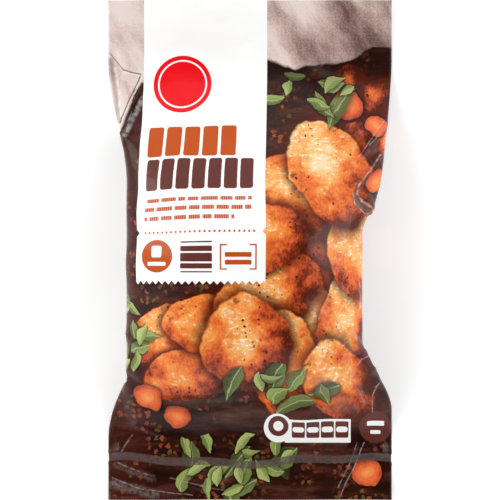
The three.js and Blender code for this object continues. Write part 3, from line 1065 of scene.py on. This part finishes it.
def dashes(t, place, shift):
    """Dashes of uneven length along a line, to be cut to a row."""
    x, _ = t.split(place)
    gaps = t.node("TexVoronoi", feature="DISTANCE_TO_EDGE", voronoi_dimensions="1D")
    t.named(gaps, w=t.calc("ADD", x, shift), scale=DASHES["rate"], randomness=DASHES["uneven"])
    wave = t.calc("SINE", t.calc("MULTIPLY", x, STROKES["rate"]))
    strokes = t.step(wave, *STROKES["edge"], *STROKES["ink"])
    return t.calc("MULTIPLY", t.step(gaps.outputs["Distance"], *DASHES["gap"]), strokes)


def label_shape(t, place):
    """The white label: straight sides with a small notch each, and a saw-toothed lower edge."""
    x, y = t.split(place)
    tooth = t.calc("PINGPONG", t.calc("ADD", x, 200.0), LABEL_END["tooth"])
    lower = t.calc("MULTIPLY_ADD", tooth, LABEL_END["slope"], LABEL_END["along"])
    beside = t.calc("ABSOLUTE", t.calc("SUBTRACT", y, LABEL_NOTCH["along"]))
    notch = t.step(beside, LABEL_NOTCH["half"], 0.0, 0.0, LABEL_NOTCH["depth"])
    half = t.calc("SUBTRACT", (LABEL_RIGHT - LABEL_LEFT) / 2, notch)
    from_middle = t.calc("ABSOLUTE", t.calc("SUBTRACT", x, (LABEL_LEFT + LABEL_RIGHT) / 2))
    sides = t.step(t.calc("SUBTRACT", half, from_middle), -0.2, 0.2)
    return t.calc("MULTIPLY", sides, t.step(t.calc("SUBTRACT", y, lower), -0.2, 0.2))


def make_label():
    """What is printed on the white label, reckoned from the label's left edge."""
    t, given, put = new_group("printed label", {"Place": "Vector"}, {"Colour": "Color"})
    place = t.vector("SUBTRACT", given["Place"], (LABEL_LEFT, 0, 0))
    outer, inner = [disc(t, place, *RED_DISC["middle"], radius) for radius in RED_DISC["ring"]]
    colour = t.mix(disc(t, place, *RED_DISC["middle"], RED_DISC["radius"]), shade(WHITE), shade(RED))
    colour = t.mix(t.calc("SUBTRACT", outer, inner), colour, shade(WHITE))
    for left, bottom, top, blocks, pitch, width, ink in BLOCK_ROWS:
        row = repeated(t, place, left + width / 2, pitch, blocks)
        colour = t.mix(bar(t, row, left, left + width, bottom, top, 2.2), colour, shade(ink))
    for left, right, bottom, top, shift in SMALL_ROWS:
        row = t.calc("MULTIPLY", bar(t, place, left, right, bottom, top), dashes(t, place, shift))
        colour = t.mix(row, colour, shade(ORANGE))
    dots = repeated(t, place, DOTS["first"], DOTS["pitch"], DOTS["count"])
    colour = t.mix(disc(t, dots, DOTS["first"], DOTS["along"], DOTS["radius"]), colour, shade(ORANGE))
    colour = t.mix(disc(t, place, *ORANGE_DISC), colour, shade(ORANGE))
    colour = t.mix(bars(t, place, *ORANGE_DISC_SIGNS), colour, shade(WHITE))
    stripes = bars(t, place, *[(*STRIPES["across"], *along) for along in STRIPES["along"]])
    colour = t.mix(stripes, colour, shade(BROWN))
    brackets = t.calc("SUBTRACT", bar(t, place, *BRACKETS["outer"]), bar(t, place, *BRACKETS["inner"]))
    brackets = t.calc("SUBTRACT", brackets, bar(t, place, *BRACKETS["gap"]))
    lines = t.calc("MAXIMUM", brackets, bars(t, place, *BRACKETS["signs"]))
    return put(colour=t.mix(lines, colour, shade(ORANGE)))


# The lower panels' layout, across from the left side edge and along from the middle of the bag
PANEL = {"box": (156, 214.1, -170.1, -149.0), "disc": (150.4, -157.1, 12.8)}
RING_DISC = {"middle": (150.4, -155.4), "radii": (9.0, 4.4)}
CELLS = {"first": 168.0, "pitch": 12.8, "count": 4}
CELL_BARS = {"brown": (162.2, 173.8, -165.8, -151.0, 1.4), "white": (162.9, 173.1, -160.8, -155.8, 2.4)}
CORNER_DISC = (235.9, -156.1, 14.2)
CORNER_DISC_SIGNS = ((228.4, 243.6, -155.0, -150.8), (231.4, 240.4, -162.2, -159.0))


def make_lower_panels():
    """White panel with plain brown cells, a white disc and a brown disc, at the lower right."""
    inputs = {"Under": "Color", "Place": "Vector"}
    t, given, put = new_group("printed lower panels", inputs, {"Colour": "Color"})
    place = given["Place"]
    panel = t.calc("MAXIMUM", bar(t, place, *PANEL["box"]), disc(t, place, *PANEL["disc"]))
    colour = t.mix(panel, given["Under"], shade(WHITE))
    cell = repeated(t, place, CELLS["first"], CELLS["pitch"], CELLS["count"])
    for radius, kind, ink in zip(RING_DISC["radii"], ("brown", "white"), (BROWN, WHITE)):
        ring = disc(t, place, *RING_DISC["middle"], radius)
        colour = t.mix(t.calc("MAXIMUM", ring, bar(t, cell, *CELL_BARS[kind])), colour, shade(ink))
    colour = t.mix(disc(t, place, *CORNER_DISC), colour, shade(BROWN))
    return put(colour=t.mix(bars(t, place, *CORNER_DISC_SIGNS), colour, shade(WHITE)))


def unbroken_back(t, place):
    """The place with ways round the tube from 0 up, so that nothing breaks in the middle of the back."""
    x, y = t.split(place)
    return t.joined(t.calc("WRAP", x, ROUND, 0.0), y)


BACK_TONES = ((0.3, (74, 42, 34)), (0.7, (104, 66, 56)))


def make_plain_back():
    t, given, put = new_group("plain back", {"Place": "Vector"}, {"Colour": "Color"})
    mottle = t.noise(unbroken_back(t, given["Place"]), 0.05, 4.0)
    return put(colour=t.ramp(mottle, BACK_TONES))


BACK_PANEL_BOX = (338, 412, -80, 20, 3.0)
BACK_LINES = {"first": 14.0, "pitch": -8.0, "count": 12, "across": (345, 405), "half": 1.6, "shift": 7.3}


def make_back_panel():
    """A white panel with rows of dashes, on the side that lies on the table."""
    inputs = {"Under": "Color", "Place": "Vector"}
    t, given, put = new_group("printed back panel", inputs, {"Colour": "Color"})
    place = unbroken_back(t, given["Place"])
    colour = t.mix(bar(t, place, *BACK_PANEL_BOX), given["Under"], shade(WHITE))
    first, pitch, half = BACK_LINES["first"], BACK_LINES["pitch"], BACK_LINES["half"]
    lines = repeated(t, place, first, pitch, BACK_LINES["count"], "y")
    line = bar(t, lines, *BACK_LINES["across"], first - half, first + half)
    _, y = t.split(place)
    shift = t.calc("MULTIPLY", t.calc("FLOOR", t.calc("DIVIDE", y, -pitch)), BACK_LINES["shift"])
    return put(colour=t.mix(t.calc("MULTIPLY", line, dashes(t, place, shift)), colour, shade(BROWN)))


SEAL_HAZE = {"uneven": (0.3, 0.65), "strength": (0.55, 0.95), "ink": (92, 77, 73), "roughness": 0.2}
SEAL_RAGGED = {"out": 1.6, "edge": 0.4}  # how far the haze's edge strays, and its half width
FILM_ROUGHNESS = (0.12, 0.26)
FILM_CRINKLE, FILM_PEBBLES = 0.8, 0.05  # heights in mm


def make_film_surface():
    """What all of the film has: the heat seal across it, a fine crinkle and an uneven gloss."""
    inputs = {"Under": "Color", "Place": "Vector"}
    outputs = {"Colour": "Color", "Roughness": "Float", "Height": "Float"}
    t, given, put = new_group("film surface", inputs, outputs)
    place = given["Place"]
    x, y = t.split(place)
    x = t.calc("PINGPONG", x, BAG_WIDTH)  # the seal goes through both layers
    waves = [t.calc("MULTIPLY", t.calc("SINE", t.calc("MULTIPLY_ADD", x, rate, start)), height)
             for height, rate, start in SEAL_WAVES]
    away = t.calc("ABSOLUTE", t.calc("SUBTRACT", t.calc("SUBTRACT", y, SEAL_Y), t.calc("ADD", *waves)))
    uneven = t.noise(place, 0.3, 4.0, 0.65)
    out, edge = SEAL_RAGGED["out"], SEAL_RAGGED["edge"]
    ragged = t.calc("ADD", away, t.between(uneven, -out, out))
    seal = t.step(ragged, SEAL_WIDTH / 2 + edge, SEAL_WIDTH / 2 - edge)
    hazy = t.calc("MULTIPLY", seal, t.step(uneven, *SEAL_HAZE["uneven"], *SEAL_HAZE["strength"]))
    colour = t.mix(hazy, given["Under"], shade(SEAL_HAZE["ink"]))
    roughness = t.between(t.noise(place, 0.05, 4.0), *FILM_ROUGHNESS)
    roughness = t.calc("MULTIPLY_ADD", seal, SEAL_HAZE["roughness"], roughness)
    crinkle = t.calc("MULTIPLY", t.noise(place, 0.09, 5.0), FILM_CRINKLE)
    height = t.calc("MULTIPLY_ADD", t.noise(place, 0.6, 2.0), FILM_PEBBLES, crinkle)
    return put(colour=colour, roughness=roughness, height=height)


# Painted light and shade of the folds on the film, from above in mm: from, to, half width, colour and
# strength.
# The near-white and pale colours are painted highlights and glare on creases, the grey one painted sheen,
# and the brown and near-black ones painted shade in creases and tucks.
PAINTED_HIGHLIGHT, PAINTED_GLARE, PAINTED_SHEEN = (244, 240, 238), (214, 205, 200), (104, 88, 84)
PAINTED_SHADE, PAINTED_DEEP_SHADE = (84, 50, 42), (44, 27, 21)
PAINTED_FOLD_LIGHT_AND_SHADE = (
    ((-123, 168), (-115, 113), 2.4, PAINTED_SHADE, 0.4),
    ((-119, 160), (-113, 118), 1.5, PAINTED_HIGHLIGHT, 0.5),
    ((-110, 148), (-105, 134), 1.8, PAINTED_SHADE, 0.22),
    ((-94, 134), (-110, 101), 2.6, PAINTED_HIGHLIGHT, 0.26),
    ((-95.6, 146), (-112.6, 103.6), 1.7, PAINTED_SHADE, 0.95),
    ((-95.4, 152.6), (-113.1, 110.9), 0.6, PAINTED_HIGHLIGHT, 0.9),
    ((-96.8, 153.7), (-114.5, 111.5), 0.5, PAINTED_DEEP_SHADE, 0.8),
    ((-123.8, 174), (-112, 158.6), 0.5, PAINTED_SHADE, 0.6),
    ((-112, 158.6), (-96.3, 154.7), 0.6, PAINTED_SHADE, 0.7),
    ((-112, 157.2), (-97, 153.4), 0.5, PAINTED_HIGHLIGHT, 0.8),
    ((118, 114), (95, 81), 0.4, PAINTED_GLARE, 0.4),
    ((120, 108), (104, 91), 0.4, PAINTED_GLARE, 0.35),
    ((95, 81), (82, 66), 0.4, PAINTED_GLARE, 0.25),
    ((94, 55), (91.6, 46), 2.2, PAINTED_SHEEN, 0.75),
    ((91.6, 46), (96, 40), 2.4, PAINTED_SHEEN, 0.75),
    ((96, 40), (104, 34), 2.4, PAINTED_SHEEN, 0.75),
    ((114.5, 83.5), (95.6, 57), 0.7, PAINTED_GLARE, 0.5),
    ((95.6, 57), (93.4, 49), 0.9, PAINTED_GLARE, 0.5),
    ((93.4, 49), (97.4, 43), 0.9, PAINTED_GLARE, 0.5),
    ((97.4, 43), (105, 38), 1.2, PAINTED_HIGHLIGHT, 0.4),
    ((89.5, 49), (90.8, 41.5), 0.5, PAINTED_GLARE, 0.45),
    ((90.8, 41.5), (100.6, 31.6), 0.5, PAINTED_GLARE, 0.45),
    ((93, 8), (97, -50), 0.5, PAINTED_GLARE, 0.3),
    ((107.7, -144), (107, -128), 0.5, PAINTED_GLARE, 0.4),
    ((107, -128), (110.6, -119.6), 0.5, PAINTED_GLARE, 0.4),
    ((110.6, -119.6), (115.8, -113.5), 0.5, PAINTED_GLARE, 0.3),
    ((93.7, -101), (97.4, -95.4), 0.5, PAINTED_GLARE, 0.3),
    ((97.4, -95.4), (106, -91.4), 0.5, PAINTED_GLARE, 0.3),
    ((88, -72), (112, -92), 2.6, PAINTED_GLARE, 0.2),
    ((60, -116), (82, -132), 7.0, PAINTED_SHEEN, 0.4),
    ((56, -138), (92, -140), 4.5, PAINTED_SHEEN, 0.3),
    ((-70, -138), (-20, -132), 6.0, PAINTED_SHEEN, 0.22),
    ((-112, -120), (-104, -150), 5.0, PAINTED_SHEEN, 0.25),
    ((20, -166), (84, -170), 3.5, PAINTED_SHEEN, 0.3),
    ((84, -96), (100, -132), 2.6, PAINTED_GLARE, 0.14),
    ((101, -169.8), (79, -220), 0.4, PAINTED_GLARE, 0.4),
    ((95, -169.8), (87, -190), 0.4, PAINTED_GLARE, 0.35),
    ((87, -190), (78, -210), 0.6, PAINTED_GLARE, 0.25),
    ((-117, -188), (-89, -199), 0.5, PAINTED_GLARE, 0.22),
    ((-118, -190), (-86, -202), 3.5, PAINTED_GLARE, 0.08),
    ((-122, -201), (-96, -211), 0.5, PAINTED_GLARE, 0.3),
    ((-96, -211), (-51, -216.5), 0.5, PAINTED_GLARE, 0.25),
    ((-122, -206), (-84, -216), 4.5, PAINTED_GLARE, 0.14),
    ((-70, -201), (-42, -208), 0.5, PAINTED_GLARE, 0.2),
    ((-42, -208), (-20, -213), 0.5, PAINTED_GLARE, 0.16),
    ((-118, -178), (-118, -154), 1.4, PAINTED_DEEP_SHADE, 0.5),
    ((-116, -179), (-108, -160), 1.2, PAINTED_DEEP_SHADE, 0.5),
    ((-112, -180), (-97, -170), 1.1, PAINTED_DEEP_SHADE, 0.45),
    ((-113, -178), (-104, -163), 0.8, PAINTED_GLARE, 0.25),
)
MARK_EDGE = {"inner": 0.3, "outer": 1.3, "blur": 0.2}  # shares of a mark's half width, and a blur in mm
MARKS_END = (2.0, 6.0)  # ways round the side edges over which the marks end


def past_sides(t, x, begin, end):
    """0 on the front, and 1 further round either side edge than the second way."""
    return t.calc("MAXIMUM", t.step(x, BAG_WIDTH + begin, BAG_WIDTH + end), t.step(x, -begin, -end))


def make_painted_fold_shading():
    """Painted highlights, glare, sheen and shade of the folds, on the front only: Spot is seen from above,
    Place is the place in the print.
    """
    inputs = {"Under": "Color", "Spot": "Vector", "Place": "Vector"}
    t, given, put = new_group("painted fold light and shade", inputs, {"Colour": "Color"})
    spot = t.vector("MULTIPLY", given["Spot"], (1, 1, 0))
    sway = t.vector("SUBTRACT", t.noise(spot, 0.05, 3.0, output="Color"), (0.5, 0.5, 0.5))
    spot = t.vector("MULTIPLY", t.vector("MULTIPLY_ADD", sway, (3, 3, 0), spot), (1, 1, 0))
    # A noise that breaks up the painted highlights and glare along the folds.
    highlight_breakup = t.step(t.noise(spot, 0.22, 4.0), 0.38, 0.58, 0.2, 1.0)
    colour = given["Under"]
    # Each entry paints a fold's highlight, glare, sheen or shade over the print; the colour called ink here
    # is painted light or shade, not print.
    for start, end, width, ink, strength in PAINTED_FOLD_LIGHT_AND_SHADE:
        way = (end[0] - start[0], end[1] - start[1], 0)
        from_start = t.vector("SUBTRACT", spot, (*start, 0))
        share = t.calc("DIVIDE", t.vector("DOT_PRODUCT", from_start, way), way[0] ** 2 + way[1] ** 2)
        share = t.calc("MINIMUM", t.calc("MAXIMUM", share, 0.0), 1.0)
        aside = t.vector("LENGTH", t.vector("SUBTRACT", from_start, t.scaled(way, share)))
        outer, inner = width * MARK_EDGE["outer"] + MARK_EDGE["blur"], width * MARK_EDGE["inner"]
        mark = t.step(aside, outer, inner, 0, strength)
        if ink in (PAINTED_HIGHLIGHT, PAINTED_GLARE):
            mark = t.calc("MULTIPLY", mark, highlight_breakup)
        colour = t.mix(mark, colour, shade(ink))
    x, _ = t.split(given["Place"])
    return put(colour=t.mix(past_sides(t, x, *MARKS_END), colour, given["Under"]))


PAINTED_FOLD_SHADING = make_painted_fold_shading()
LABEL = make_label()
LOWER_PANELS = make_lower_panels()
PLAIN_BACK = make_plain_back()
BACK_PANEL = make_back_panel()
FILM_SURFACE = make_film_surface()


def label_print(t, place):
    return t.group(LABEL, place=place)["Colour"]


def picture_print(t, place):
    colour = faded_to_back(t, place, t.group(PICTURE, place=place)["Colour"])
    # Painted highlights, sheen and shade of the film's folds, laid over the printed picture.
    colour = t.group(PAINTED_FOLD_SHADING, under=colour, spot=seen_from_above(t), place=place)["Colour"]
    colour = t.group(LOWER_PANELS, under=colour, place=place)["Colour"]
    return t.mix(label_shape(t, place), colour, shade(WHITE))


def linen_print(t, place):
    colour = faded_to_back(t, place, t.group(LINEN, place=place)["Colour"])
    return t.mix(label_shape(t, place), colour, shade(WHITE))


def back_print(t, place):
    colour = t.group(PLAIN_BACK, place=place)["Colour"]
    return t.group(BACK_PANEL, under=colour, place=place)["Colour"]


def seen_from_above(t):
    """The film's place in the bag, in mm."""
    return t.scaled(t.node("TexCoord").outputs["Object"], 1 / MM)


FADE_TO_BACK = (14.0, 38.0)  # ways round the side edges over which the picture fades into the plain back


def faded_to_back(t, place, colour):
    x, _ = t.split(place)
    return t.mix(past_sides(t, x, *FADE_TO_BACK), colour, t.group(PLAIN_BACK, place=place)["Colour"])


CRINKLE_STRENGTH = 0.5
FILM_GLOSS = {"IOR": 1.45, "Specular IOR Level": 0.18}


def film_material(name, printed):
    material = bpy.data.materials.new(name)
    material.use_nodes = True
    t = Tree(material.node_tree)
    uv = t.node("UVMap", uv_map="print").outputs["UV"]
    place = t.vector("MULTIPLY_ADD", uv, (ROUND, BAG_LENGTH, 0), (-BAG_WIDTH / 2, -HALF_LENGTH, 0))
    surface = t.group(FILM_SURFACE, under=printed(t, place), place=place)
    bump = t.node("Bump")
    bump.inputs["Distance"].default_value = MM
    bump.inputs["Strength"].default_value = CRINKLE_STRENGTH
    t.feed(bump.inputs["Height"], surface["Height"])
    shader = material.node_tree.nodes["Principled BSDF"]
    t.feed(shader.inputs["Base Color"], surface["Colour"])
    t.feed(shader.inputs["Roughness"], surface["Roughness"])
    t.feed(shader.inputs["Normal"], bump.outputs["Normal"])
    for socket, value in FILM_GLOSS.items():
        shader.inputs[socket].default_value = value
    return material


# Each stretch of the film has the material for what is printed there
FILM_PRINTS = (("label film", label_print), ("picture film", picture_print), ("linen film", linen_print),
               ("back film", back_print))
LABEL_FILM, PICTURE_FILM, LINEN_FILM, BACK_FILM = range(len(FILM_PRINTS))
LABEL_MARGIN = 4.0  # inside the label's side edges
LABEL_FROM = -24.0  # above the label's lower edge
LINEN_FROM = 178.0
BACK_FROM = 42.0  # round the side edges


def film_stretch(across, along):
    """Which material a face of the film takes, by its place in the print."""
    if LABEL_LEFT + LABEL_MARGIN < across < LABEL_RIGHT - LABEL_MARGIN and along > LABEL_FROM:
        return LABEL_FILM
    if not -BACK_FROM < across < BAG_WIDTH + BACK_FROM:
        return BACK_FILM
    return LINEN_FILM if along > LINEN_FROM else PICTURE_FILM


def print_film(mesh):
    """Gives the film its materials, face by face."""
    for name, printed in FILM_PRINTS:
        mesh.materials.append(film_material(name, printed))
    uv = mesh.uv_layers["print"].uv
    for face in mesh.polygons:
        across, along = uv[face.loop_start].vector
        face.material_index = film_stretch(across * ROUND - BAG_WIDTH / 2, along * BAG_LENGTH - HALF_LENGTH)


film = bpy.data.objects.new("printed_bag", film_mesh())
bpy.context.collection.objects.link(film)
film.data.shade_smooth()
print_film(film.data)
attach(film, "root")
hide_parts("filled_bag")


# Floor, light and camera, in metres
PICTURE_HEIGHT = 441.7 * MM  # what the picture shows from its top to its bottom edge
CAMERA_DISTANCE = 4.0
SENSOR_WIDTH = 36.0  # in mm
FLOOR_SIZE = 8.0
FLOOR_LOOK = {
    "Base Color": (0.8, 0.8, 0.8, 1),
    "Roughness": 0.9,
    "Emission Color": (1, 1, 1, 1),
    "Emission Strength": 0.4,  # a lit table, so that hardly any shadow shows
}
SKY = (1.42, 0.03)  # strength towards the horizon and straight above
SKY_FADE = (0.5, 0.9)  # how far up it goes from the one to the other
SOFTBOXES = (  # name, place, size and watts
    ("left softbox", (-2.1, 0.8, 1.3), (1.0, 2.2), 29),
    ("right softbox", (2.2, 0.3, 1.2), (0.8, 2.0), 17),
)


def make_stage():
    bm = bmesh.new()
    bmesh.ops.create_grid(bm, x_segments=1, y_segments=1, size=FLOOR_SIZE)
    mesh = bpy.data.meshes.new("floor")
    bm.to_mesh(mesh)
    bm.free()
    floor = bpy.data.objects.new("floor", mesh)
    bpy.context.collection.objects.link(floor)
    pale = bpy.data.materials.new("pale floor")
    pale.use_nodes = True
    shader = pale.node_tree.nodes["Principled BSDF"]
    for socket, value in FLOOR_LOOK.items():
        shader.inputs[socket].default_value = value
    mesh.materials.append(pale)


def make_light(name, place, size, power):
    light = bpy.data.lights.new(name, "AREA")
    light.shape = "RECTANGLE"
    light.size, light.size_y = size
    light.energy = power
    lamp = bpy.data.objects.new(name, light)
    bpy.context.collection.objects.link(lamp)
    lamp.location = place
    direction = -lamp.location.normalized()
    lamp.rotation_euler = direction.to_track_quat("-Z", "Y").to_euler()


def make_camera():
    data = bpy.data.cameras.new("camera")
    data.sensor_width = SENSOR_WIDTH
    data.lens = data.sensor_width * CAMERA_DISTANCE / PICTURE_HEIGHT
    camera = bpy.data.objects.new("camera", data)
    bpy.context.collection.objects.link(camera)
    camera.location = (0, 0, CAMERA_DISTANCE)
    bpy.context.scene.camera = camera


def make_sky():
    """Soft light from all round, dimmer straight above, so that the film's level parts show no glare."""
    world = bpy.data.worlds.new("soft sky")
    world.use_nodes = True
    t = Tree(world.node_tree)
    towards = t.node("TexCoord").outputs["Generated"]
    upward = t.node("SeparateXYZ")
    t.feed(upward.inputs[0], towards)
    background = world.node_tree.nodes["Background"]
    background.inputs["Color"].default_value = (1, 1, 1, 1)
    t.feed(background.inputs["Strength"], t.step(upward.outputs["Z"], *SKY_FADE, *SKY))
    bpy.context.scene.world = world


make_stage()
make_sky()
for softbox in SOFTBOXES:
    make_light(*softbox)
make_camera()
bpy.context.scene.view_settings.view_transform = "Standard"
